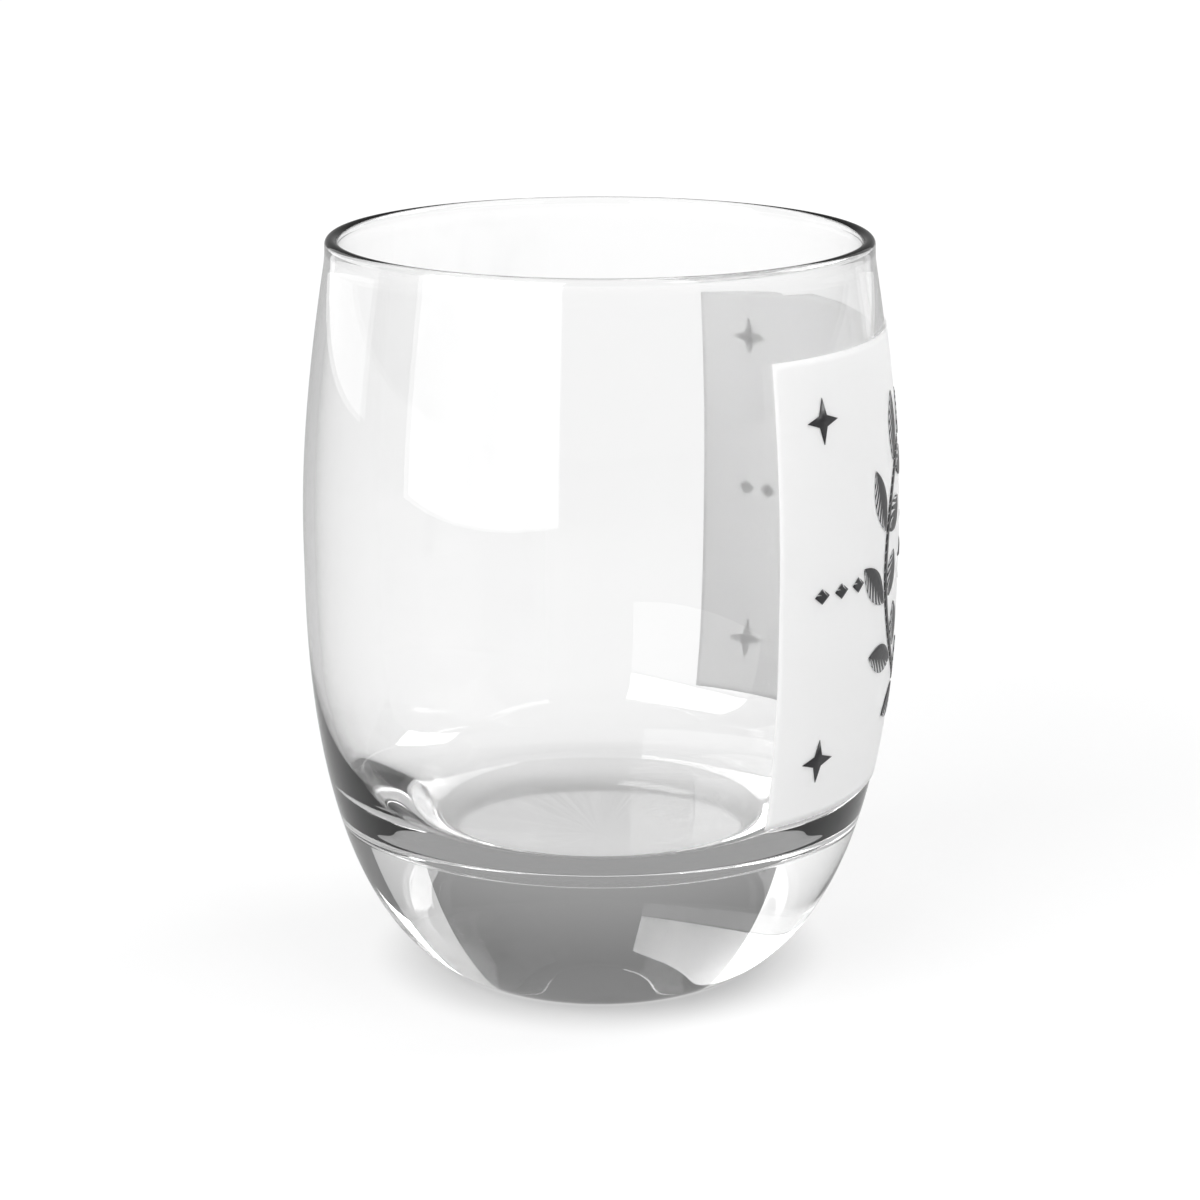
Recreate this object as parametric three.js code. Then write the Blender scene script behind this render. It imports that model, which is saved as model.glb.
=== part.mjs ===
// A barrel-shaped whisky glass: a clear bowl on a thick solid base, with a white printed panel on its side
// that carries a dark ink ornament. Millimetres, +Z up, origin at the middle of the foot, print facing -Y.
import * as THREE from "three";
import { TessellateModifier } from "three/addons/modifiers/TessellateModifier.js";

// Outside of the glass
const HEIGHT = 88;
const BELLY_RADIUS = 35;
const BELLY_HEIGHT = 48.5;
const FOOT_RADIUS = 18.5;
const RIM_TAPER = 3; // how far the rim lies inside the belly
const BEAD_RADIUS = 0.95; // of the round section of the rim
const BEAD_PROUD = 0.2; // how far the rim bead stands out from the neck under it

// How the side curves: the pull of each curve end, and the angles it leaves with
const FOOT_RISE = 24.6; // degrees above the table where the side leaves the foot
const FOOT_PULL = 9.8;
const BELLY_PULL_DOWN = 29.5;
const BELLY_PULL_UP = 4.7;
const NECK_LEAN = 9.7; // degrees that the neck leans inwards
const NECK_PULL = 23.3;

// Inside of the glass
const WALL = 1.4;
const BASE_THICKNESS = 18;
const FLOOR_WALL = 3.2; // glass beside the floor's corner
const FLOOR_RISE = 68; // degrees above the floor where the inner side leaves its corner
const FLOOR_ROUND = 10.2; // radius of that corner
const FLOOR_PULL = 5;
const INNER_BELLY_PULL = 12;

// Printed layers
const PRINT_WIDTH = 75; // along the wall at the belly
const PRINT_ABOVE_FOOT = 24.6;
const PRINT_BELOW_RIM = 10;
const PRINT_THICKNESS = 0.12;
const PRINT_CLEARANCE = 0.1; // clears the facets of the glass
const INK_THICKNESS = 0.08;
const INK_CLEARANCE = 0.05; // clears the facets of the white layer

// Ornament: a wreath of two grain stalks round a star, diamonds at each side and a sparkle in each corner
const INK_GAP = 0.5; // bare white between one island of ink and the next
const WREATH_RADIUS = 16.7; // to the middle of the stems
const STEM_WIDTH = 0.9;
const STEM_PARTING = 3.6; // between the feet of the two stems
const TIP_PARTING = 4; // between the tips of the two stalks
const GRAIN_PAIRS = 5; // along each stem
const OUTER_GRAIN_LENGTH = 8;
const INNER_GRAIN_LENGTH = 5.5;
const GRAIN_WIDTH = 3.4;
const GRAIN_TILT = 35; // degrees between a grain and its stem
const TIE_RADIUS = 0.9;
const STAR_LONG_RAY = 10;
const STAR_SHORT_RAY = 5.9;
const STAR_WAIST = 3.4;
const STAR_HUB = 1.3;
const STAR_RAYS = 8;
const DIAMONDS = 3; // at each side
const DIAMOND_LENGTH = 2.4;
const DIAMOND_WIDTH = 1.8;
const DIAMOND_GAP = 1;
const SPARKLE_MARGIN = 4.5; // bare white between a sparkle and the print's edge
const SPARKLE_RADIUS = 2.6;
const SPARKLE_WAIST = 0.9;
const SPARKLE_POINTS = 4;

// Facets
const TURN_FACETS = 72;
const SIDE_STEPS = 9;
const BEAD_STEPS = 12;
const CORNER_STEPS = 7;
const PRINT_COLUMNS = 24;
const PRINT_ROWS = 12;
const INK_CURVE_STEPS = 8;
const INK_EDGE = 2.2; // longest edge of an ink facet
const INK_HALVINGS = 8; // most times that a facet is halved for it
const HEIGHT_HALVINGS = 40; // steps that home in on a height along a side

const radians = THREE.MathUtils.degToRad;
const at = (x, y) => new THREE.Vector2(x, y);
const polar = (radius, angle) => at(radius * Math.cos(angle), radius * Math.sin(angle));

// Half sections: x is the distance from the axis and y the height.
const rimRadius = BELLY_RADIUS - RIM_TAPER;
const foot = at(FOOT_RADIUS, 0);
const lowerSide = new THREE.CubicBezierCurve(
  foot,
  foot.clone().add(polar(FOOT_PULL, radians(FOOT_RISE))),
  at(BELLY_RADIUS, BELLY_HEIGHT - BELLY_PULL_DOWN),
  at(BELLY_RADIUS, BELLY_HEIGHT),
);

// The side from the belly up to the neck, moved in towards the axis by an inset.
function upperSide(inset) {
  const belly = at(BELLY_RADIUS - inset, BELLY_HEIGHT);
  const neck = at(rimRadius - BEAD_PROUD - inset, HEIGHT - 2 * BEAD_RADIUS);
  return new THREE.CubicBezierCurve(
    belly,
    belly.clone().add(at(0, BELLY_PULL_UP)),
    neck.clone().add(polar(NECK_PULL, radians(NECK_LEAN - 90))),
    neck,
  );
}

const outerUpper = upperSide(0);
const innerUpper = upperSide(WALL);

// The outer surface at a height: its distance from the axis and its outward normal.
function surfaceAt(height) {
  const curve = height < BELLY_HEIGHT ? lowerSide : outerUpper;
  let low = 0;
  let high = 1;
  for (let halving = 0; halving < HEIGHT_HALVINGS; halving++) {
    const middle = (low + high) / 2;
    if (curve.getPoint(middle).y < height) low = middle;
    else high = middle;
  }
  const along = curve.getTangent(low);
  return { radius: curve.getPoint(low).x, normal: at(along.y, -along.x) };
}

// The solid glass: up the outside, over the rim bead, down the inside and across the floor.
function glassProfile() {
  const rise = radians(FLOOR_RISE);
  const corner = at(surfaceAt(BASE_THICKNESS).radius - FLOOR_WALL, BASE_THICKNESS);
  const roundCentre = at(corner.x - FLOOR_ROUND * Math.tan(rise / 2), BASE_THICKNESS + FLOOR_ROUND);
  const roundEnd = roundCentre.clone().add(polar(FLOOR_ROUND, rise - Math.PI / 2));
  const innerLower = new THREE.CubicBezierCurve(
    roundEnd,
    roundEnd.clone().add(polar(FLOOR_PULL, rise)),
    at(BELLY_RADIUS - WALL, BELLY_HEIGHT - INNER_BELLY_PULL),
    at(BELLY_RADIUS - WALL, BELLY_HEIGHT),
  );
  const beadCentre = at(rimRadius - BEAD_RADIUS, HEIGHT - BEAD_RADIUS);
  const bead = new THREE.EllipseCurve(
    beadCentre.x, beadCentre.y, BEAD_RADIUS, BEAD_RADIUS, -Math.PI / 4, (5 * Math.PI) / 4,
  );
  const floorRound = new THREE.EllipseCurve(
    roundCentre.x, roundCentre.y, FLOOR_ROUND, FLOOR_ROUND, rise - Math.PI / 2, -Math.PI / 2, true,
  );
  return [
    at(0, 0),
    ...lowerSide.getPoints(SIDE_STEPS),
    ...outerUpper.getPoints(SIDE_STEPS).slice(1),
    ...bead.getPoints(BEAD_STEPS),
    ...innerUpper.getPoints(SIDE_STEPS).reverse(),
    ...innerLower.getPoints(SIDE_STEPS).reverse().slice(1),
    ...floorRound.getPoints(CORNER_STEPS).slice(1),
    at(0, BASE_THICKNESS),
  ];
}

// Lays a flat geometry (x along the wall, y up, z outwards) on the bowl, a set distance off the glass.
function wrap(geometry, offGlass) {
  const points = geometry.getAttribute("position");
  for (let i = 0; i < points.count; i++) {
    const angle = points.getX(i) / BELLY_RADIUS;
    const { radius, normal } = surfaceAt(points.getY(i));
    const off = offGlass + points.getZ(i);
    const reach = radius + normal.x * off;
    points.setXYZ(i, reach * Math.sin(angle), -reach * Math.cos(angle), points.getY(i) + normal.y * off);
  }
  return geometry;
}

const printTop = HEIGHT - PRINT_BELOW_RIM;
const printMiddle = (printTop + PRINT_ABOVE_FOOT) / 2;
const printHeight = printTop - PRINT_ABOVE_FOOT;
const inkOffGlass = PRINT_CLEARANCE + PRINT_THICKNESS + INK_CLEARANCE;

function printGeometry() {
  const flat = new THREE.BoxGeometry(
    PRINT_WIDTH, printHeight, PRINT_THICKNESS, PRINT_COLUMNS, PRINT_ROWS, 1,
  );
  flat.translate(0, printMiddle, PRINT_THICKNESS / 2);
  return wrap(flat, PRINT_CLEARANCE);
}

function inkGeometry(shape) {
  const flat = new THREE.ExtrudeGeometry(shape, {
    depth: INK_THICKNESS, bevelEnabled: false, curveSegments: INK_CURVE_STEPS,
  });
  const fine = new TessellateModifier(INK_EDGE, INK_HALVINGS).modify(flat);
  fine.translate(0, printMiddle, 0);
  return wrap(fine, inkOffGlass);
}

// Ink shapes lie about the middle of the print, x to the right and y up.
// Grains stand off the stem by a gap. The stem stops where the grain at its tip leaves room for its twin.
const tilt = radians(GRAIN_TILT);
const stemEdge = STEM_WIDTH / 2 + INK_GAP;
const tipLength = INK_GAP + OUTER_GRAIN_LENGTH;
const tipTurn = Math.asin(TIP_PARTING / 2 / Math.hypot(WREATH_RADIUS, tipLength)); // from straight up
const stemStart = Math.asin((STEM_PARTING / 2 + STEM_WIDTH / 2) / WREATH_RADIUS); // from straight down
const stemSweep = Math.PI - stemStart - tipTurn - Math.atan(tipLength / WREATH_RADIUS);
const grainPitch = stemSweep / GRAIN_PAIRS;

// A pointed oval from its foot along a direction.
function grainShape(foot, direction, length) {
  const along = polar(length, direction);
  const across = polar(GRAIN_WIDTH, direction + Math.PI / 2);
  const tip = foot.clone().add(along);
  const middle = foot.clone().addScaledVector(along, 0.5);
  const left = middle.clone().add(across);
  const right = middle.clone().sub(across);
  return new THREE.Shape()
    .moveTo(foot.x, foot.y)
    .quadraticCurveTo(right.x, right.y, tip.x, tip.y)
    .quadraticCurveTo(left.x, left.y, foot.x, foot.y);
}

// One stalk of the wreath: side is 1 for the right stalk, which turns anticlockwise, and -1 for the left.
function stalkShapes(name, side) {
  const angleAt = (turn) => (side > 0 ? turn - Math.PI / 2 : -Math.PI / 2 - turn);
  const first = angleAt(stemStart);
  const last = angleAt(stemStart + stemSweep);
  const clockwise = side < 0;
  const stem = new THREE.Shape()
    .absarc(0, 0, WREATH_RADIUS + STEM_WIDTH / 2, first, last, clockwise)
    .absarc(0, 0, WREATH_RADIUS - STEM_WIDTH / 2, last, first, !clockwise)
    .closePath();
  const shapes = { [`${name}_stem`]: stem };
  for (let pair = 0; pair < GRAIN_PAIRS; pair++) {
    const angle = angleAt(stemStart + (pair + 0.5) * grainPitch);
    const forward = angle + (side * Math.PI) / 2;
    const outerFoot = polar(WREATH_RADIUS + stemEdge, angle);
    const innerFoot = polar(WREATH_RADIUS - stemEdge, angle);
    const outer = grainShape(outerFoot, forward - side * tilt, OUTER_GRAIN_LENGTH);
    const inner = grainShape(innerFoot, forward + side * tilt, INNER_GRAIN_LENGTH);
    shapes[`${name}_outer_grain_${pair + 1}`] = outer;
    shapes[`${name}_inner_grain_${pair + 1}`] = inner;
  }
  const onward = last + (side * Math.PI) / 2;
  const tipFoot = polar(WREATH_RADIUS, last).add(polar(INK_GAP, onward));
  shapes[`${name}_tip_grain`] = grainShape(tipFoot, onward, OUTER_GRAIN_LENGTH);
  return shapes;
}

function tieShape() {
  return new THREE.Shape().absarc(0, -WREATH_RADIUS, TIE_RADIUS, 0, 2 * Math.PI);
}

// A star of separate kites, long rays and short rays by turns, with a bare line between neighbours.
function starShapes() {
  const step = (2 * Math.PI) / STAR_RAYS;
  const shy = Math.asin(INK_GAP / 2 / STAR_WAIST);
  const shapes = {};
  for (let ray = 0; ray < STAR_RAYS; ray++) {
    const angle = ray * step;
    const half = step / 2 - shy;
    const corners = [
      polar(STAR_HUB, angle),
      polar(STAR_WAIST, angle - half),
      polar(ray % 2 ? STAR_SHORT_RAY : STAR_LONG_RAY, angle),
      polar(STAR_WAIST, angle + half),
    ];
    shapes[`star_ray_${ray + 1}`] = new THREE.Shape(corners);
  }
  return shapes;
}

// Diamonds in line with the wreath's middle, from just outside its grains.
function diamondShapes(name, side) {
  const grainReach = stemEdge + OUTER_GRAIN_LENGTH * Math.sin(tilt);
  const halfLength = DIAMOND_LENGTH / 2;
  const shapes = {};
  for (let i = 0; i < DIAMONDS; i++) {
    const inner = WREATH_RADIUS + grainReach + DIAMOND_GAP + i * (DIAMOND_LENGTH + DIAMOND_GAP);
    const middle = side * (inner + halfLength);
    shapes[`${name}_diamond_${i + 1}`] = new THREE.Shape([
      at(middle - halfLength, 0),
      at(middle, -DIAMOND_WIDTH / 2),
      at(middle + halfLength, 0),
      at(middle, DIAMOND_WIDTH / 2),
    ]);
  }
  return shapes;
}

// A four-pointed sparkle set into a corner of the print.
function sparkleShape(across, up) {
  const x = across * (PRINT_WIDTH / 2 - SPARKLE_MARGIN - SPARKLE_RADIUS);
  const y = up * (printHeight / 2 - SPARKLE_MARGIN - SPARKLE_RADIUS);
  const points = [];
  for (let i = 0; i < 2 * SPARKLE_POINTS; i++) {
    const reach = i % 2 ? SPARKLE_WAIST : SPARKLE_RADIUS;
    points.push(polar(reach, (i * Math.PI) / SPARKLE_POINTS).add(at(x, y)));
  }
  return new THREE.Shape(points);
}

const inkShapes = {
  ...stalkShapes("left", -1),
  ...stalkShapes("right", 1),
  wreath_tie: tieShape(),
  ...starShapes(),
  ...diamondShapes("left", -1),
  ...diamondShapes("right", 1),
  sparkle_upper_left: sparkleShape(-1, 1),
  sparkle_upper_right: sparkleShape(1, 1),
  sparkle_lower_left: sparkleShape(-1, -1),
  sparkle_lower_right: sparkleShape(1, -1),
};

const clearGlass = { color: 0xf3f6f5, roughness: 0.02, metalness: 0, transparent: true, opacity: 0.3 };
const whitePrint = { color: 0xf2f2f2, roughness: 0.45, metalness: 0 };
const darkInk = { color: 0x1c1c1e, roughness: 0.4, metalness: 0 };

function piece(name, geometry, finish) {
  const mesh = new THREE.Mesh(geometry, new THREE.MeshStandardMaterial(finish));
  mesh.name = name;
  return mesh;
}

const glass = new THREE.Group();
const turned = new THREE.LatheGeometry(glassProfile(), TURN_FACETS).rotateX(Math.PI / 2);
glass.add(piece("glass_body", turned, clearGlass));
glass.add(piece("print_ground", printGeometry(), whitePrint));
for (const [name, shape] of Object.entries(inkShapes)) {
  glass.add(piece(name, inkGeometry(shape), darkInk));
}

export default glass;
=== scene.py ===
# %% [markdown]
# # A whisky glass with a printed panel
#
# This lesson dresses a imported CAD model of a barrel-shaped whisky glass: a clear bowl on a thick solid base, a
# white panel printed on its side, and a dark ornament printed on the panel. The CAD solids give the sizes. Here
# each piece is made again with a fine, smooth mesh and a finish, in metres, in the same frame.

# %% Load the frame
import math

import bmesh
import bpy
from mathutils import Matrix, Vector
from mathutils.geometry import interpolate_bezier


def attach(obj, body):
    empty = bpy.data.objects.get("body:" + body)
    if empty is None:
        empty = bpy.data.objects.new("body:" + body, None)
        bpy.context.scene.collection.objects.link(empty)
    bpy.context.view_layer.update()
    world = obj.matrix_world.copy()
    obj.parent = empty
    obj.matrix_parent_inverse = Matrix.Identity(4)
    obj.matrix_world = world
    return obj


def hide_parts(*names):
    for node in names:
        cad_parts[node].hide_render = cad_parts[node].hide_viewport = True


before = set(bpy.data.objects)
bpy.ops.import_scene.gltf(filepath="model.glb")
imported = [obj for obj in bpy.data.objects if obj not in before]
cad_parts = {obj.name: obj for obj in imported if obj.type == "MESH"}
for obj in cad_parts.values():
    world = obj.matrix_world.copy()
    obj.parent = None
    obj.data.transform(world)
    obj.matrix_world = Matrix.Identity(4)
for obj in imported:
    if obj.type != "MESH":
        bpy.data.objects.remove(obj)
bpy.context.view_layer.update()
MM = 0.001

# %% [markdown]
# ## Two small helpers for materials
#
# Colours are chosen as sRGB hex values, the way a colour picker shows them, but shaders calculate with linear
# light, so one function turns the first into the second. A shader is a web of nodes. Another function adds one
# node, sets its properties and fills its inputs, either with a number or with the output of an earlier node.

# %% Colour and node helpers
def linear(hex_colour):
    """An sRGB hex colour such as "F2F2F2" as linear red, green, blue and alpha."""
    shares = [int(hex_colour[i:i + 2], 16) / 255 for i in (0, 2, 4)]
    return [s / 12.92 if s <= 0.04045 else ((s + 0.055) / 1.055) ** 2.4 for s in shares] + [1]


def add_node(tree, kind, inputs, **settings):
    """Adds a node; an input is a value, or an output socket that is linked to it."""
    node = tree.nodes.new(kind)
    for name, value in settings.items():
        setattr(node, name, value)
    for name, value in inputs.items():
        if isinstance(value, bpy.types.NodeSocket):
            tree.links.new(value, node.inputs[name])
        else:
            node.inputs[name].default_value = value
    return node


def new_material(name):
    """An empty node material."""
    material = bpy.data.materials.new(name)
    material.use_nodes = True
    material.node_tree.nodes.clear()
    return material


print("white print in linear light:", [round(c, 3) for c in linear("F7F7F7")[:3]])

# %% [markdown]
# ## The outline of the glass
#
# A blown or pressed glass is round, so half a section says everything. It could be cut from a block or built up
# from rings, but two Bezier curves that meet upright at the belly give the outside with a handful of numbers, and
# no kink where they join. Sizes are the CAD model's, in millimetres.

# %% Outline of the outside
HEIGHT = 88
BELLY_RADIUS = 35
BELLY_HEIGHT = 48.5
FOOT_RADIUS = 18.5
RIM_TAPER = 3
BEAD_RADIUS = 0.95
BEAD_PROUD = 0.2
FOOT_RISE = math.radians(24.6)
FOOT_PULL = 9.8
BELLY_PULL_DOWN = 29.5
BELLY_PULL_UP = 4.7
NECK_LEAN = math.radians(9.7)
NECK_PULL = 23.3
CURVE_POINTS = 56


def polar(radius, angle):
    return Vector((radius * math.cos(angle), radius * math.sin(angle)))


def curve(start, start_handle, end_handle, end):
    return [Vector(p) for p in interpolate_bezier(start, start_handle, end_handle, end, CURVE_POINTS)]


foot = Vector((FOOT_RADIUS, 0))
belly = Vector((BELLY_RADIUS, BELLY_HEIGHT))
neck = Vector((BELLY_RADIUS - RIM_TAPER - BEAD_PROUD, HEIGHT - 2 * BEAD_RADIUS))
lower_side = curve(foot, foot + polar(FOOT_PULL, FOOT_RISE), belly - Vector((0, BELLY_PULL_DOWN)), belly)
under_neck = neck + polar(NECK_PULL, NECK_LEAN - math.pi / 2)
upper_side = curve(belly, belly + Vector((0, BELLY_PULL_UP)), under_neck, neck)
outside = lower_side + upper_side[1:]
print("outside has", len(outside), "points, from the foot to", [round(x, 1) for x in neck], "mm")

# %% [markdown]
# ## The rim and the inside
#
# The rim of a glass is melted round by a flame, which leaves a slight bead. Here it is a little slimmer than the
# CAD model's and runs out softly into both faces of the wall, because a fat bead works as a lens and bends the
# view of what lies behind it. The inside follows the upper wall at an even thickness, then bends in over the
# thick base, where a round corner leads to a flat floor.

# %% Outline of the rim bead and the inside
WALL = 1.4
BASE_THICKNESS = 18
FLOOR_WALL = 3.2
FLOOR_RISE = math.radians(68)
FLOOR_ROUND = 10.2
FLOOR_PULL = 5
INNER_BELLY_PULL = 12
RIM_ROUND = 0.76
RIM_BLEND = 2.6
BLEND_PULL = 0.7
BEAD_TUCK = math.radians(10)
ARC_POINTS = 24


def arc(centre, radius, first, last):
    return [centre + polar(radius, first + (last - first) * i / ARC_POINTS) for i in range(ARC_POINTS + 1)]


def outside_at(height):
    """Radius of the outside at a height, and the outward normal there, in the half section."""
    for low, high in zip(outside, outside[1:]):
        if low.y <= height <= high.y:
            along = (high - low).normalized()
            return low.lerp(high, (height - low.y) / (high.y - low.y)).x, Vector((along.y, -along.x))
    raise ValueError(f"no outside at {height} mm")


bead_centre = Vector((neck.x - WALL / 2, HEIGHT - RIM_ROUND))
outer_wall = [p for p in upper_side if p.y < HEIGHT - RIM_BLEND]
inner_wall = [p - Vector((WALL, 0)) for p in outer_wall]
wall_lean = (outer_wall[-1] - outer_wall[-2]).normalized() * BLEND_PULL
bead = arc(bead_centre, RIM_ROUND, 0, math.pi + BEAD_TUCK)
bead_end = bead[-1] + polar(BLEND_PULL, 3 * math.pi / 2 + BEAD_TUCK)
outer_blend = curve(outer_wall[-1], outer_wall[-1] + wall_lean, bead[0] - Vector((0, BLEND_PULL)), bead[0])
inner_blend = curve(bead[-1], bead_end, inner_wall[-1] + wall_lean, inner_wall[-1])
rim = outer_blend[1:-1] + bead + inner_blend[1:-1]
corner = outside_at(BASE_THICKNESS)[0] - FLOOR_WALL
round_centre = Vector((corner - FLOOR_ROUND * math.tan(FLOOR_RISE / 2), BASE_THICKNESS + FLOOR_ROUND))
floor_round = arc(round_centre, FLOOR_ROUND, -math.pi / 2, FLOOR_RISE - math.pi / 2)
inner_belly = belly - Vector((WALL, 0))
inner_handle = floor_round[-1] + polar(FLOOR_PULL, FLOOR_RISE)
inner_side = curve(floor_round[-1], inner_handle, inner_belly - Vector((0, INNER_BELLY_PULL)), inner_belly)
inside = floor_round + inner_side[1:] + inner_wall[1:]
print("inside runs from radius", round(inside[0].x, 1), "mm on the floor up to", round(inside[-1].x, 1), "mm")

# %% [markdown]
# ## Clear soda-lime glass
#
# Drinking glasses are soda-lime glass, fire-polished until the surface is smooth. The eye gets sharp mirror
# images from both faces of the wall and a strongly bent view through the thick base, so the shader is full
# transmission with no roughness. Molten glass never sets quite even: a bump of about a hundredth of a millimetre,
# in waves some 20 mm long, makes the mirrored edges waver a little, as they do on a real glass.

# %% Glass material
GLASS_WAVE = 20 * MM
GLASS_UNEVEN = 0.01 * MM
clear_glass = new_material("soda_lime_glass_fire_polished")
tree = clear_glass.node_tree
place = add_node(tree, "ShaderNodeTexCoord", {})
waves = add_node(tree, "ShaderNodeTexNoise", {
    "Vector": place.outputs["Object"], "Scale": 1 / GLASS_WAVE, "Detail": 0,
})
uneven = add_node(tree, "ShaderNodeBump", {"Height": waves.outputs["Fac"], "Distance": GLASS_UNEVEN})
shader = add_node(tree, "ShaderNodeBsdfPrincipled", {
    "Base Color": linear("FBFBFB"), "Roughness": 0, "IOR": 1.5, "Transmission Weight": 1,
    "Normal": uneven.outputs["Normal"],
})
add_node(tree, "ShaderNodeOutputMaterial", {"Surface": shader.outputs["BSDF"]})
print("glass waves of", GLASS_WAVE / MM, "mm")

# %% [markdown]
# ## The glass body
#
# The half section is a chain of edges, and spin sweeps it once round the axis, as a glass is turned. The start
# and end on the axis collapse to a point, so doubles are merged and the normals worked out again. Smooth shading
# is what makes the refraction smooth, and only the edge of the foot stays sharp.

# %% Spin the glass
SPIN_STEPS = 240
SHARP = math.radians(20)
WELD = 0.001


def finished(bm, name, material, slot, *nodes):
    """Makes the bmesh an object that rides on the body and stands for CAD nodes."""
    mesh = bpy.data.meshes.new(name)
    bm.to_mesh(mesh)
    bm.free()
    mesh.shade_smooth()
    mesh.set_sharp_from_angle(angle=SHARP)
    mesh.materials.append(material)
    piece = bpy.data.objects.new(name, mesh)
    bpy.context.scene.collection.objects.link(piece)
    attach(piece, "root")
    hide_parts(*nodes)
    return piece


foot_middle = Vector((0, 0))
floor_middle = Vector((0, BASE_THICKNESS))
section = [foot_middle, *lower_side, *outer_wall[1:], *rim, *reversed(inside), floor_middle]
bm = bmesh.new()
points = [bm.verts.new((p.x * MM, 0, p.y * MM)) for p in section]
edges = [bm.edges.new(pair) for pair in zip(points, points[1:])]
bmesh.ops.spin(bm, geom=points + edges, cent=(0, 0, 0), axis=(0, 0, 1), angle=2 * math.pi, steps=SPIN_STEPS,
               use_merge=True)
bmesh.ops.remove_doubles(bm, verts=bm.verts, dist=WELD * MM)
bmesh.ops.recalc_face_normals(bm, faces=bm.faces)
glass = finished(bm, "glass_smooth", clear_glass, "clear_glass", "glass_body")
print("glass has", len(glass.data.polygons), "faces")

# %% [markdown]
# ## Screen-printed white
#
# The panel is ceramic colour, pushed through a screen and fired on. It is white and satin, and its surface keeps
# a trace of the screen. The real mesh is about 0.1 mm, too fine to show here, so it is drawn at 0.5 mm. A plain
# white shader would leave the back of the panel dark. The layer is thin, so about half of the light that falls on
# it comes out on the other side, and from inside the glass its back looks nearly as white as its front.

# %% White print material
SCREEN_PITCH = 0.5 * MM
SCREEN_RELIEF = 0.004 * MM
PRINT_CLOUD = 6 * MM
PRINT_THIN = 0.55
PRINT_GLOSS = (0.32, 0.42)
white_print = new_material("screen_printed_ceramic_white")
tree = white_print.node_tree
place = add_node(tree, "ShaderNodeTexCoord", {})
screen = add_node(tree, "ShaderNodeTexNoise", {
    "Vector": place.outputs["Object"], "Scale": 1 / SCREEN_PITCH, "Detail": 1,
})
cloud = add_node(tree, "ShaderNodeTexNoise", {
    "Vector": place.outputs["Object"], "Scale": 1 / PRINT_CLOUD, "Detail": 2,
})
relief = add_node(tree, "ShaderNodeBump", {"Height": screen.outputs["Fac"], "Distance": SCREEN_RELIEF})
tone = add_node(tree, "ShaderNodeMix", {
    "Factor": cloud.outputs["Fac"], "A": linear("F7F7F7"), "B": linear("FAFAFA"),
}, data_type="RGBA")
gloss = add_node(tree, "ShaderNodeMapRange", {
    "Value": cloud.outputs["Fac"], "To Min": PRINT_GLOSS[0], "To Max": PRINT_GLOSS[1],
})
skin = add_node(tree, "ShaderNodeBsdfPrincipled", {
    "Base Color": tone.outputs["Result"], "Roughness": gloss.outputs["Result"], "Normal": relief.outputs["Normal"],
})
lit_through = add_node(tree, "ShaderNodeBsdfTranslucent", {"Color": linear("FAFAFA")})
shader = add_node(tree, "ShaderNodeMixShader", {
    0: PRINT_THIN, 1: skin.outputs["BSDF"], 2: lit_through.outputs["BSDF"],
})
add_node(tree, "ShaderNodeOutputMaterial", {"Surface": shader.outputs["Shader"]})
print("screen relief every", SCREEN_PITCH / MM, "mm")

# %% [markdown]
# ## The white panel
#
# The panel is a stretch of the outside, lifted a hair off the glass. The same spin that turned the glass sweeps
# it, only through the panel's own angle, and a Solidify modifier gives it the thickness of the print.

# %% White panel
PRINT_WIDTH = 75
PRINT_ABOVE_FOOT = 24.6
PRINT_BELOW_RIM = 10
PRINT_CLEARANCE = 0.1
PRINT_THICKNESS = 0.12
PANEL_ROWS = 60
PANEL_STEPS = 120
print_top = HEIGHT - PRINT_BELOW_RIM
print_angle = PRINT_WIDTH / BELLY_RADIUS


def on_bowl(along, height, off):
    """The point that lies along the wall from the panel's middle, at a height and a distance off the glass."""
    radius, normal = outside_at(height)
    angle = along / BELLY_RADIUS
    reach = radius + normal.x * off
    return Vector((reach * math.sin(angle), -reach * math.cos(angle), height + normal.y * off)) * MM


def thicken(piece, thickness):
    layer = piece.modifiers.new("printed layer", "SOLIDIFY")
    layer.thickness = thickness * MM
    layer.offset = 1


def face_outwards(bm):
    """Turns every face of a thin shell on the bowl away from the axis."""
    for face in bm.faces:
        face.normal_update()
        if face.normal.dot(face.calc_center_median() * Vector((1, 1, 0))) < 0:
            face.normal_flip()


heights = [PRINT_ABOVE_FOOT + (print_top - PRINT_ABOVE_FOOT) * i / PANEL_ROWS for i in range(PANEL_ROWS + 1)]
bm = bmesh.new()
points = [bm.verts.new(on_bowl(-PRINT_WIDTH / 2, z, PRINT_CLEARANCE)) for z in heights]
edges = [bm.edges.new(pair) for pair in zip(points, points[1:])]
bmesh.ops.spin(bm, geom=points + edges, cent=(0, 0, 0), axis=(0, 0, 1), angle=print_angle, steps=PANEL_STEPS)
bmesh.ops.remove_doubles(bm, verts=bm.verts, dist=WELD * MM)
face_outwards(bm)
panel = finished(bm, "white_panel", white_print, "white_print", "print_ground")
thicken(panel, PRINT_THICKNESS)
print("panel spans", round(math.degrees(print_angle), 1), "degrees")

# %% [markdown]
# ## Dark ink
#
# The ornament is one dark printing over the white. It is drawn the way an engraver shades: each island of ink is
# near black along one side and breaks into fine hatch lines on the other, so that it reads as grey there. The
# islands carry a UV map in millimetres, along and across themselves, which the hatch follows.

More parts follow.
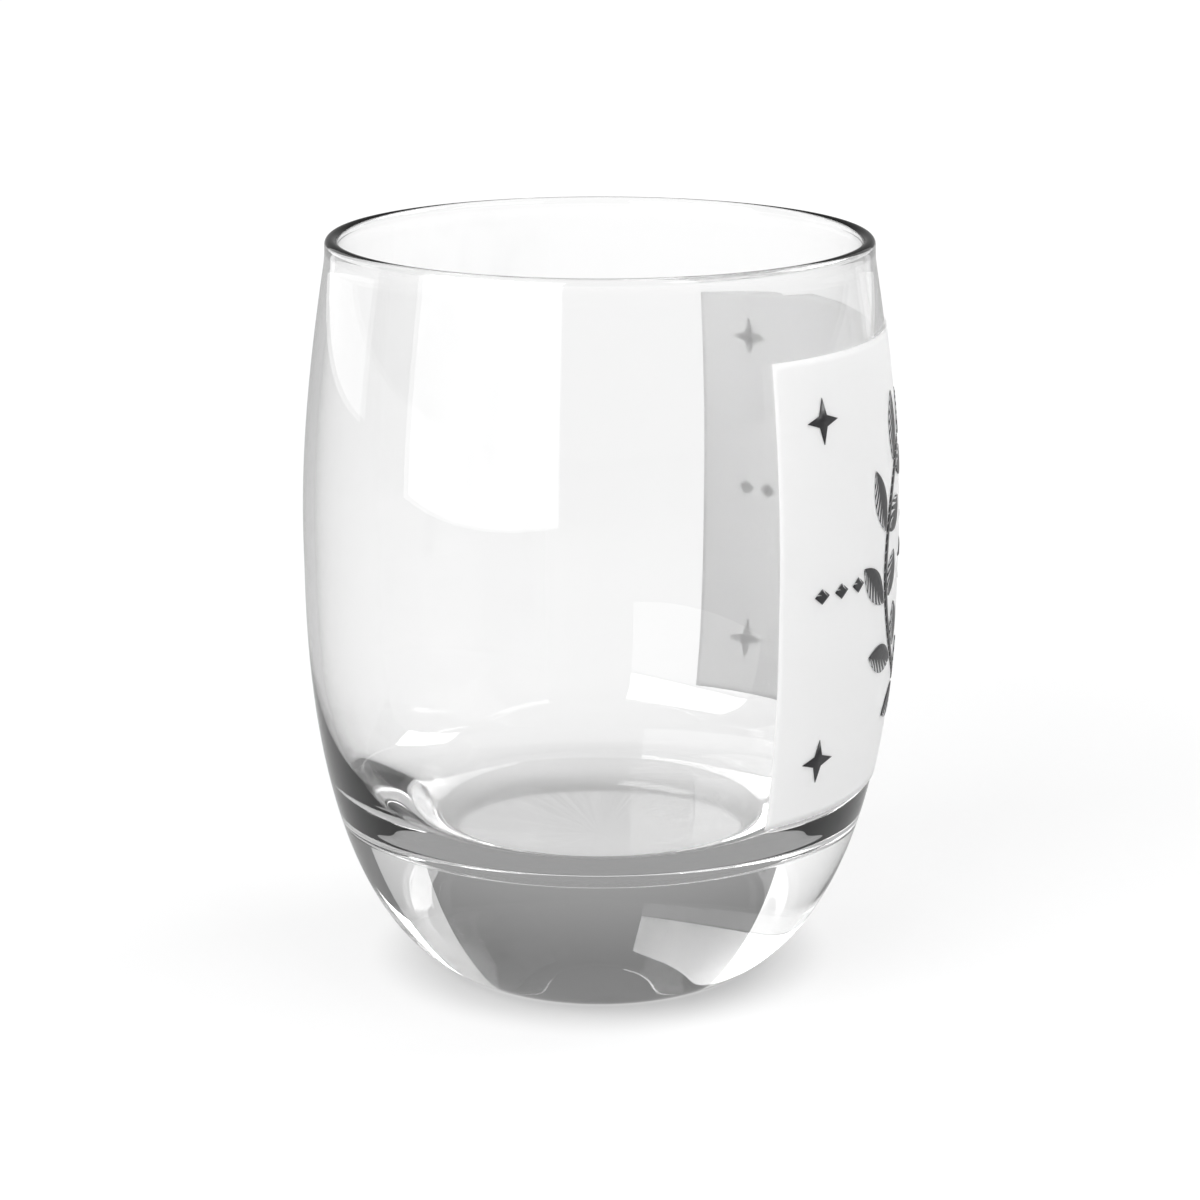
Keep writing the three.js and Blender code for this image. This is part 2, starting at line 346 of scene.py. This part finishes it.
# %% Ink material
HATCH_PITCH = 0.55
HATCH_SIDE = (0.1, 1.6)
HATCH_OPEN = 0.55
INK_GRAIN = 0.4 * MM
INK_GLOSS = (0.3, 0.45)
dark_ink = new_material("screen_printed_dark_ink")
tree = dark_ink.node_tree
island = add_node(tree, "ShaderNodeUVMap", {}, uv_map="island")
axes = add_node(tree, "ShaderNodeSeparateXYZ", {"Vector": island.outputs["UV"]})
slant = add_node(tree, "ShaderNodeMath", {0: axes.outputs["X"], 1: axes.outputs["Y"]}, operation="ADD")
lines = add_node(tree, "ShaderNodeMath", {0: slant.outputs["Value"], 1: HATCH_PITCH}, operation="PINGPONG")
share = add_node(tree, "ShaderNodeMapRange", {"Value": lines.outputs["Value"], "From Max": HATCH_PITCH})
side = add_node(tree, "ShaderNodeMapRange", {
    "Value": axes.outputs["Y"], "From Min": HATCH_SIDE[0], "From Max": HATCH_SIDE[1], "To Max": HATCH_OPEN,
})
open_line = add_node(tree, "ShaderNodeMath", {
    0: share.outputs["Result"], 1: side.outputs["Result"],
}, operation="LESS_THAN")
tone = add_node(tree, "ShaderNodeMix", {
    "Factor": open_line.outputs["Value"], "A": linear("1B1B1D"), "B": linear("B9B9BA"),
}, data_type="RGBA")
place = add_node(tree, "ShaderNodeTexCoord", {})
speckle = add_node(tree, "ShaderNodeTexNoise", {
    "Vector": place.outputs["Object"], "Scale": 1 / INK_GRAIN, "Detail": 1,
})
gloss = add_node(tree, "ShaderNodeMapRange", {
    "Value": speckle.outputs["Fac"], "To Min": INK_GLOSS[0], "To Max": INK_GLOSS[1],
})
shader = add_node(tree, "ShaderNodeBsdfPrincipled", {
    "Base Color": tone.outputs["Result"], "Roughness": gloss.outputs["Result"],
})
add_node(tree, "ShaderNodeOutputMaterial", {"Surface": shader.outputs["BSDF"]})
print("hatch lines every", HATCH_PITCH, "mm")

# %% [markdown]
# ## Islands of ink
#
# Every island starts as a flat grid, a strip that runs along its own middle line. A function places each point of
# the strip: a grain draws it in to a point at both ends, a stem bends it round the wreath, and a star's ray or a
# diamond is widest at one row. The strip is then laid on the bowl, over the panel, and thickened.

# %% Ink strips
INK_CLEARANCE = 0.05
INK_THICKNESS = 0.08
INK_OFF_GLASS = PRINT_CLEARANCE + PRINT_THICKNESS + INK_CLEARANCE
print_middle = (print_top + PRINT_ABOVE_FOOT) / 2


def lay_ink(bm, name):
    """Lays a flat bmesh, in millimetres about the panel's middle, on the panel as the ink of one CAD node."""
    bmesh.ops.remove_doubles(bm, verts=bm.verts, dist=WELD)
    for vert in bm.verts:
        vert.co = on_bowl(vert.co.x, print_middle + vert.co.y, INK_OFF_GLASS)
    face_outwards(bm)
    piece = finished(bm, name + "_ink", dark_ink, "dark_ink", name)
    thicken(piece, INK_THICKNESS)
    return piece


def ink_strip(name, rows, columns, place_point, length, width):
    """A strip of rows and columns; place_point takes shares along (0 to 1) and across (-0.5 to 0.5)."""
    bm = bmesh.new()
    bmesh.ops.create_grid(bm, x_segments=rows, y_segments=columns, size=0.5)
    island = bm.loops.layers.uv.new("island")
    for face in bm.faces:
        for loop in face.loops:
            loop[island].uv = ((loop.vert.co.x + 0.5) * length, loop.vert.co.y * width)
    for vert in bm.verts:
        vert.co = place_point(vert.co.x + 0.5, vert.co.y).to_3d()
    return lay_ink(bm, name)


print("ink lies", round(INK_OFF_GLASS, 2), "mm off the glass")

# %% [markdown]
# ## The wreath
#
# Two bent stems rise from a round tie, each with pairs of grains and one more at its tip, as on many plain printed
# glasses. The places could be listed one by one, but a wreath is regular, so one function draws a stalk and is
# called for each side. Every grain keeps a small gap from its stem, since each is an island of ink of its own.

# %% Wreath
WREATH_RADIUS = 16.7
INK_GAP = 0.5
STEM_WIDTH = 0.9
STEM_PARTING = 3.6
TIP_PARTING = 4
GRAIN_PAIRS = 5
OUTER_GRAIN_LENGTH = 8
INNER_GRAIN_LENGTH = 5.5
GRAIN_WIDTH = 3.4
GRAIN_TILT = math.radians(35)
GRAIN_GRID = (16, 6)
STEM_GRID = (40, 2)
TIE_RADIUS = 0.9
TIE_CORNERS = 24
stem_edge = STEM_WIDTH / 2 + INK_GAP
tip_length = INK_GAP + OUTER_GRAIN_LENGTH
tip_turn = math.asin(TIP_PARTING / 2 / math.hypot(WREATH_RADIUS, tip_length))
stem_start = math.asin((STEM_PARTING / 2 + STEM_WIDTH / 2) / WREATH_RADIUS)
stem_sweep = math.pi - stem_start - tip_turn - math.atan(tip_length / WREATH_RADIUS)


def grain(name, foot, direction, length):
    """A pointed oval: widest half way along, and drawn in to nothing at both ends."""
    def place_point(along, across):
        bulge = 4 * along * (1 - along) * GRAIN_WIDTH
        return foot + polar(along * length, direction) + polar(across * bulge, direction + math.pi / 2)
    return ink_strip(name, *GRAIN_GRID, place_point, length, GRAIN_WIDTH)


def stalk(name, side):
    """One half of the wreath; side is 1 for the right and -1 for the left."""
    def angle_at(turn):
        return side * turn - math.pi / 2

    def place_point(along, across):
        return polar(WREATH_RADIUS + across * STEM_WIDTH, angle_at(stem_start + along * stem_sweep))

    ink_strip(f"{name}_stem", *STEM_GRID, place_point, WREATH_RADIUS * stem_sweep, STEM_WIDTH)
    for pair in range(GRAIN_PAIRS):
        angle = angle_at(stem_start + (pair + 0.5) * stem_sweep / GRAIN_PAIRS)
        onward = angle + side * math.pi / 2
        grain(f"{name}_outer_grain_{pair + 1}", polar(WREATH_RADIUS + stem_edge, angle),
              onward - side * GRAIN_TILT, OUTER_GRAIN_LENGTH)
        grain(f"{name}_inner_grain_{pair + 1}", polar(WREATH_RADIUS - stem_edge, angle),
              onward + side * GRAIN_TILT, INNER_GRAIN_LENGTH)
    last = angle_at(stem_start + stem_sweep)
    onward = last + side * math.pi / 2
    grain(f"{name}_tip_grain", polar(WREATH_RADIUS, last) + polar(INK_GAP, onward), onward, OUTER_GRAIN_LENGTH)


stalk("left", -1)
stalk("right", 1)
bm = bmesh.new()
bmesh.ops.create_circle(bm, cap_ends=True, cap_tris=True, segments=TIE_CORNERS, radius=TIE_RADIUS)
bmesh.ops.translate(bm, verts=bm.verts, vec=(0, -WREATH_RADIUS, 0))
lay_ink(bm, "wreath_tie")
print("wreath has", 2 * (2 * GRAIN_PAIRS + 1), "grains")

# %% [markdown]
# ## Star, diamonds and sparkles
#
# Inside the wreath is a star of long and short rays, like a compass rose. Three diamonds stand in a row on each
# side, and a four-pointed sparkle in each corner of the panel. Rays and diamonds are strips again. A sparkle is a
# circle of eight corners with every other corner pulled in, which needs no formula of its own.

# %% Star, diamonds and sparkles
STAR_LONG_RAY = 10
STAR_SHORT_RAY = 5.9
STAR_WAIST = 3.4
STAR_HUB = 1.3
STAR_RAYS = 8
RAY_GRID = (6, 4)
RAY_WAIST_ROW = 2
DIAMONDS = 3
DIAMOND_GRID = (4, 4)
DIAMOND_LENGTH = 2.4
DIAMOND_WIDTH = 1.8
DIAMOND_GAP = 1
SPARKLE_MARGIN = 4.5
SPARKLE_RADIUS = 2.6
SPARKLE_WAIST = 0.9
SPARKLE_CORNERS = 8


def star_ray(number):
    turn = 2 * math.pi / STAR_RAYS
    half = turn / 2 - math.asin(INK_GAP / 2 / STAR_WAIST)
    tip = STAR_SHORT_RAY if number % 2 else STAR_LONG_RAY
    waist = polar(STAR_WAIST, half)
    waist_row = RAY_WAIST_ROW / RAY_GRID[0]

    def place_point(along, across):
        if along < waist_row:
            share = along / waist_row
            reach = STAR_HUB + (waist.x - STAR_HUB) * share
        else:
            share = (1 - along) / (1 - waist_row)
            reach = tip - (tip - waist.x) * share
        angle = number * turn
        return polar(reach, angle) + polar(2 * across * share * waist.y, angle + math.pi / 2)

    return ink_strip(f"star_ray_{number + 1}", *RAY_GRID, place_point, tip - STAR_HUB, 2 * waist.y)


def diamond(name, middle):
    def place_point(along, across):
        share = 1 - abs(2 * along - 1)
        return Vector((middle + (along - 0.5) * DIAMOND_LENGTH, across * share * DIAMOND_WIDTH))
    return ink_strip(name, *DIAMOND_GRID, place_point, DIAMOND_LENGTH, DIAMOND_WIDTH)


def sparkle(name, x, y):
    bm = bmesh.new()
    bmesh.ops.create_circle(bm, cap_ends=True, cap_tris=True, segments=SPARKLE_CORNERS, radius=SPARKLE_RADIUS)
    corners = [v for v in bm.verts if v.co.length > SPARKLE_WAIST]
    hollows = [v for v in corners if min(abs(v.co.x), abs(v.co.y)) > SPARKLE_WAIST / 2]
    bmesh.ops.scale(bm, verts=hollows, vec=(SPARKLE_WAIST / SPARKLE_RADIUS,) * 3)
    bmesh.ops.translate(bm, verts=bm.verts, vec=(x, y, 0))
    return lay_ink(bm, name)


for number in range(STAR_RAYS):
    star_ray(number)
grain_reach = WREATH_RADIUS + stem_edge + OUTER_GRAIN_LENGTH * math.sin(GRAIN_TILT)
for name, side in (("left", -1), ("right", 1)):
    for i in range(DIAMONDS):
        inner = grain_reach + DIAMOND_GAP + i * (DIAMOND_LENGTH + DIAMOND_GAP)
        diamond(f"{name}_diamond_{i + 1}", side * (inner + DIAMOND_LENGTH / 2))
    for level, up in (("upper", 1), ("lower", -1)):
        x = side * (PRINT_WIDTH / 2 - SPARKLE_MARGIN - SPARKLE_RADIUS)
        y = up * ((print_top - PRINT_ABOVE_FOOT) / 2 - SPARKLE_MARGIN - SPARKLE_RADIUS)
        sparkle(f"sparkle_{level}_{name}", x, y)
print("star of", STAR_RAYS, "rays,", 2 * DIAMONDS, "diamonds and 4 sparkles")

# %% [markdown]
# ## Camera
#
# The camera stands about 0.38 m from the glass and a little above its rim, with a lens of just under 100 mm. It
# sees the panel edge on, at the right. Distances are from the axis of the glass, and it aims at the middle.

# %% Camera
CAMERA_DISTANCE = 377.2 * MM
CAMERA_HEIGHT = 145.6 * MM
AIM_HEIGHT = 44.15 * MM
LENS = 98.25
SENSOR = 36
CAMERA_TURN = math.radians(174.4)
CLIP_START = 10 * MM
towards = Vector((-math.cos(CAMERA_TURN), -math.sin(CAMERA_TURN), 0))
rightwards = Vector((towards.y, -towards.x, 0))
camera = bpy.data.objects.new("photo_camera", bpy.data.cameras.new("photo_camera"))
bpy.context.scene.collection.objects.link(camera)
camera.location = -towards * CAMERA_DISTANCE + Vector((0, 0, CAMERA_HEIGHT))
camera.rotation_euler = (Vector((0, 0, AIM_HEIGHT)) - camera.location).to_track_quat("-Z", "Y").to_euler()
camera.data.lens = LENS
camera.data.sensor_width = SENSOR
camera.data.clip_start = CLIP_START
bpy.context.scene.camera = camera
print("camera at", [round(x, 3) for x in camera.location])

# %% [markdown]
# ## The table
#
# The table is white. What the camera and the glass see of it is part lit colour, which keeps the shadow of the
# glass, and part glow, which lifts it to plain white. The glow is turned down close round the foot: a painted
# contact shadow, where a real table is shaded. It grows far out, where the lights fall off. To a ray that was
# mirrored on its way it glows less, which paints shade into what the glass mirrors.
# That is a choice for the look and no law of optics: it keeps the band over the base grey, as it is in the photo.

# %% Table
TABLE_SIZE = 8
SEEN_ALBEDO = 0.3
LIT_ALBEDO = 0.85
UNDER_FOOT_GLOW = 0.62
# painted contact shadow: the glow drops to this level in the ring round the foot
CONTACT_SHADOW_GLOW = 0.37
NEAR_GLOW = 0.61
FAR_GLOW = 0.87
# painted shade: a ray that was mirrored on its way sees only this share of the table's glow
MIRRORED_SHARE = 0.4
# painted contact shadow: the glow dips across the first span and rises again across the next, in metres from the
# axis
CONTACT_SHADOW_RING = (0.0175, 0.0195)
PAINTED_SHADE_REACH = (0.0195, 0.029)
GLOW_RISE = (0.05, 1.1)
table_white = new_material("white_table_laminate")
tree = table_white.node_tree
ray = add_node(tree, "ShaderNodeLightPath", {})
# painted shade in the glass: after a mirror bounce the glow falls to a share of itself
straight = add_node(tree, "ShaderNodeMapRange", {
    "Value": ray.outputs["Glossy Depth"], "To Min": 1.0, "To Max": MIRRORED_SHARE,
})
lit = add_node(tree, "ShaderNodeMath", {0: 1.0, 1: ray.outputs["Is Diffuse Ray"]}, operation="SUBTRACT")
seen = add_node(tree, "ShaderNodeMath", {
    0: straight.outputs["Result"], 1: lit.outputs["Value"],
}, operation="MULTIPLY")
albedo = add_node(tree, "ShaderNodeMapRange", {
    "Value": ray.outputs["Is Diffuse Ray"], "To Min": SEEN_ALBEDO, "To Max": LIT_ALBEDO,
})
diffuse = add_node(tree, "ShaderNodeBsdfDiffuse", {"Color": albedo.outputs["Result"]})
place = add_node(tree, "ShaderNodeTexCoord", {})
away = add_node(tree, "ShaderNodeVectorMath", {0: place.outputs["Object"]}, operation="LENGTH")


def glow_step(reach, level):
    """A smooth step in the glow, from nothing at one distance from the axis to a level at the next."""
    return add_node(tree, "ShaderNodeMapRange", {
        "Value": away.outputs["Value"], "From Min": reach[0], "From Max": reach[1], "To Max": level,
    }, interpolation_type="SMOOTHSTEP")


# The first two steps paint shade on the table: the glow dips in the ring round the foot, a painted contact shadow,
# and rises again to the near glow.
GLOW_STEPS = (
    (CONTACT_SHADOW_RING, CONTACT_SHADOW_GLOW - UNDER_FOOT_GLOW),
    (PAINTED_SHADE_REACH, NEAR_GLOW - CONTACT_SHADOW_GLOW),
    (GLOW_RISE, FAR_GLOW - NEAR_GLOW),
)
white = UNDER_FOOT_GLOW
for reach, rise in GLOW_STEPS:
    step = glow_step(reach, rise)
    total = add_node(tree, "ShaderNodeMath", {0: white, 1: step.outputs["Result"]}, operation="ADD")
    white = total.outputs["Value"]
level = add_node(tree, "ShaderNodeMath", {0: seen.outputs["Value"], 1: white}, operation="MULTIPLY")
glow = add_node(tree, "ShaderNodeEmission", {"Strength": level.outputs["Value"]})
both = add_node(tree, "ShaderNodeAddShader", {0: diffuse.outputs["BSDF"], 1: glow.outputs["Emission"]})
add_node(tree, "ShaderNodeOutputMaterial", {"Surface": both.outputs["Shader"]})
bm = bmesh.new()
bmesh.ops.create_grid(bm, x_segments=1, y_segments=1, size=TABLE_SIZE / 2)
mesh = bpy.data.meshes.new("table")
bm.to_mesh(mesh)
bm.free()
mesh.materials.append(table_white)
table = bpy.data.objects.new("table", mesh)
bpy.context.scene.collection.objects.link(table)
print("table of", TABLE_SIZE, "m")

# %% [markdown]
# ## Studio walls and ceiling
#
# Clear glass has hardly a colour of its own, so the room decides its tones. The walls are grey, lightest low down
# behind the glass and white behind the camera, under a bright ceiling. That grey is what fills the heart of the
# thick base. Real walls would do, but a world shader needs only the direction of a ray. The camera itself sees
# plain white past the edge of the table.

# %% Studio walls and ceiling
HORIZON_GREY = 0.44
WALL_GREY = 0.16
FRONT_WHITE = 0.6
CEILING_WHITE = 1.1
BACK_TURN = (0.3, 0.9)
FRONT_TURN = (-0.4, -0.65)
WALL_FALL = 4
CEILING_EDGE = (0.62, 0.88)
world = bpy.data.worlds.new("grey_studio")
bpy.context.scene.world = world
world.use_nodes = True
tree = world.node_tree
tree.nodes.clear()
place = add_node(tree, "ShaderNodeTexCoord", {})
axes = add_node(tree, "ShaderNodeSeparateXYZ", {"Vector": place.outputs["Generated"]})
below = add_node(tree, "ShaderNodeMath", {
    0: 1.0, 1: axes.outputs["Z"],
}, operation="SUBTRACT", use_clamp=True)
fall = add_node(tree, "ShaderNodeMath", {0: below.outputs["Value"], 1: WALL_FALL}, operation="POWER")
ahead = add_node(tree, "ShaderNodeVectorMath", {
    0: place.outputs["Generated"], 1: towards,
}, operation="DOT_PRODUCT")
horizon = add_node(tree, "ShaderNodeMapRange", {
    "Value": ahead.outputs["Value"], "From Min": BACK_TURN[0], "From Max": BACK_TURN[1],
    "To Min": WALL_GREY, "To Max": HORIZON_GREY,
})
wall = add_node(tree, "ShaderNodeMapRange", {
    "Value": fall.outputs["Value"], "To Min": WALL_GREY, "To Max": horizon.outputs["Result"],
})
front = add_node(tree, "ShaderNodeMapRange", {
    "Value": ahead.outputs["Value"], "From Min": FRONT_TURN[0], "From Max": FRONT_TURN[1],
    "To Max": FRONT_WHITE,
})
walls = add_node(tree, "ShaderNodeMath", {
    0: wall.outputs["Result"], 1: front.outputs["Result"],
}, operation="ADD")
ceiling = add_node(tree, "ShaderNodeMapRange", {
    "Value": axes.outputs["Z"], "From Min": CEILING_EDGE[0], "From Max": CEILING_EDGE[1],
    "To Max": CEILING_WHITE,
}, interpolation_type="SMOOTHSTEP")
room = add_node(tree, "ShaderNodeMath", {
    0: walls.outputs["Value"], 1: ceiling.outputs["Result"],
}, operation="MAXIMUM")
ray = add_node(tree, "ShaderNodeLightPath", {})
shade = add_node(tree, "ShaderNodeMix", {
    "Factor": ray.outputs["Is Camera Ray"], "A": room.outputs["Value"], "B": 1.0,
})
background = add_node(tree, "ShaderNodeBackground", {"Strength": shade.outputs["Result"]})
add_node(tree, "ShaderNodeOutputWorld", {"Surface": background.outputs["Background"]})
print("studio walls", HORIZON_GREY, "to", WALL_GREY, "under a ceiling of", CEILING_WHITE)

# %% [markdown]
# ## Soft lights
#
# Glass is drawn by what it mirrors and bends, so white panels of light stand round it, as in a product studio.
# Each is an area light. The ones that reach down to the table show in the wall and in the base. The two upper ones
# at the right hang above what the wall mirrors and light the print, from behind and from the front, weakly enough
# that no part of it clips. Angles are turned from straight ahead, positive to the camera's right: a panel squarely
# faces the glass at one angle and reaches from one edge angle to another. Lengths are in metres.

# %% Light panels
PANELS = {  # faces, edges, distance, foot, height, radiance
    "front_left_panel": (-134, (-165, -103), 0.45, 0, 0.2, 1.6),
    "front_left_upper_panel": (-134, (-165, -103), 0.45, 0.21, 0.34, 6.6),
    "back_left_panel": (-53, (-76, -29), 0.8, 0, 0.95, 0.82),
    "back_right_panel": (38, (28, 48), 0.8, 0, 0.95, 0.45),
    "right_upper_panel": (68, (47, 87), 0.8, 0.42, 0.6, 6.5),
    "front_right_upper_panel": (128, (105, 150), 0.8, 0.42, 0.6, 3.4),
}


def heading(turn):
    """The level direction at an angle to the right of straight ahead."""
    turn = math.radians(turn)
    return towards * math.cos(turn) + rightwards * math.sin(turn)


def area_light(name, location, faces, width, height, radiance):
    """A rectangle of light; an area light's radiance is its power over pi times its area."""
    lamp = bpy.data.lights.new(name, "AREA")
    lamp.shape = "RECTANGLE"
    lamp.size = width
    lamp.size_y = height
    lamp.energy = radiance * math.pi * width * height
    light = bpy.data.objects.new(name, lamp)
    bpy.context.scene.collection.objects.link(light)
    light.location = location
    light.rotation_euler = faces.to_track_quat("-Z", "Y").to_euler()


def panel_light(name, faces, edges, distance, foot, height, radiance):
    left, right = (distance * math.tan(math.radians(edge - faces)) for edge in edges)
    middle = heading(faces) * distance + heading(faces + 90) * (left + right) / 2
    middle.z = foot + height / 2
    area_light(name, middle, -heading(faces), right - left, height, radiance)


for name, values in PANELS.items():
    panel_light(name, *values)
print("lights:", ", ".join(PANELS))

# %% [markdown]
# ## Settings
#
# A ray crosses many faces of a thick glass, so it may pass through many. Mirror bounces are few: after four, a
# path ends in black. Real glass has no such limit. It is a choice for the look, because the band over the base
# then ends dark at both sides, as it does in the photo.

# %% Settings
BOUNCES = 32
MIRROR_BOUNCES = 4
scene = bpy.context.scene
scene.view_settings.view_transform = "Standard"
scene.cycles.max_bounces = BOUNCES
scene.cycles.transmission_bounces = BOUNCES
scene.cycles.glossy_bounces = MIRROR_BOUNCES
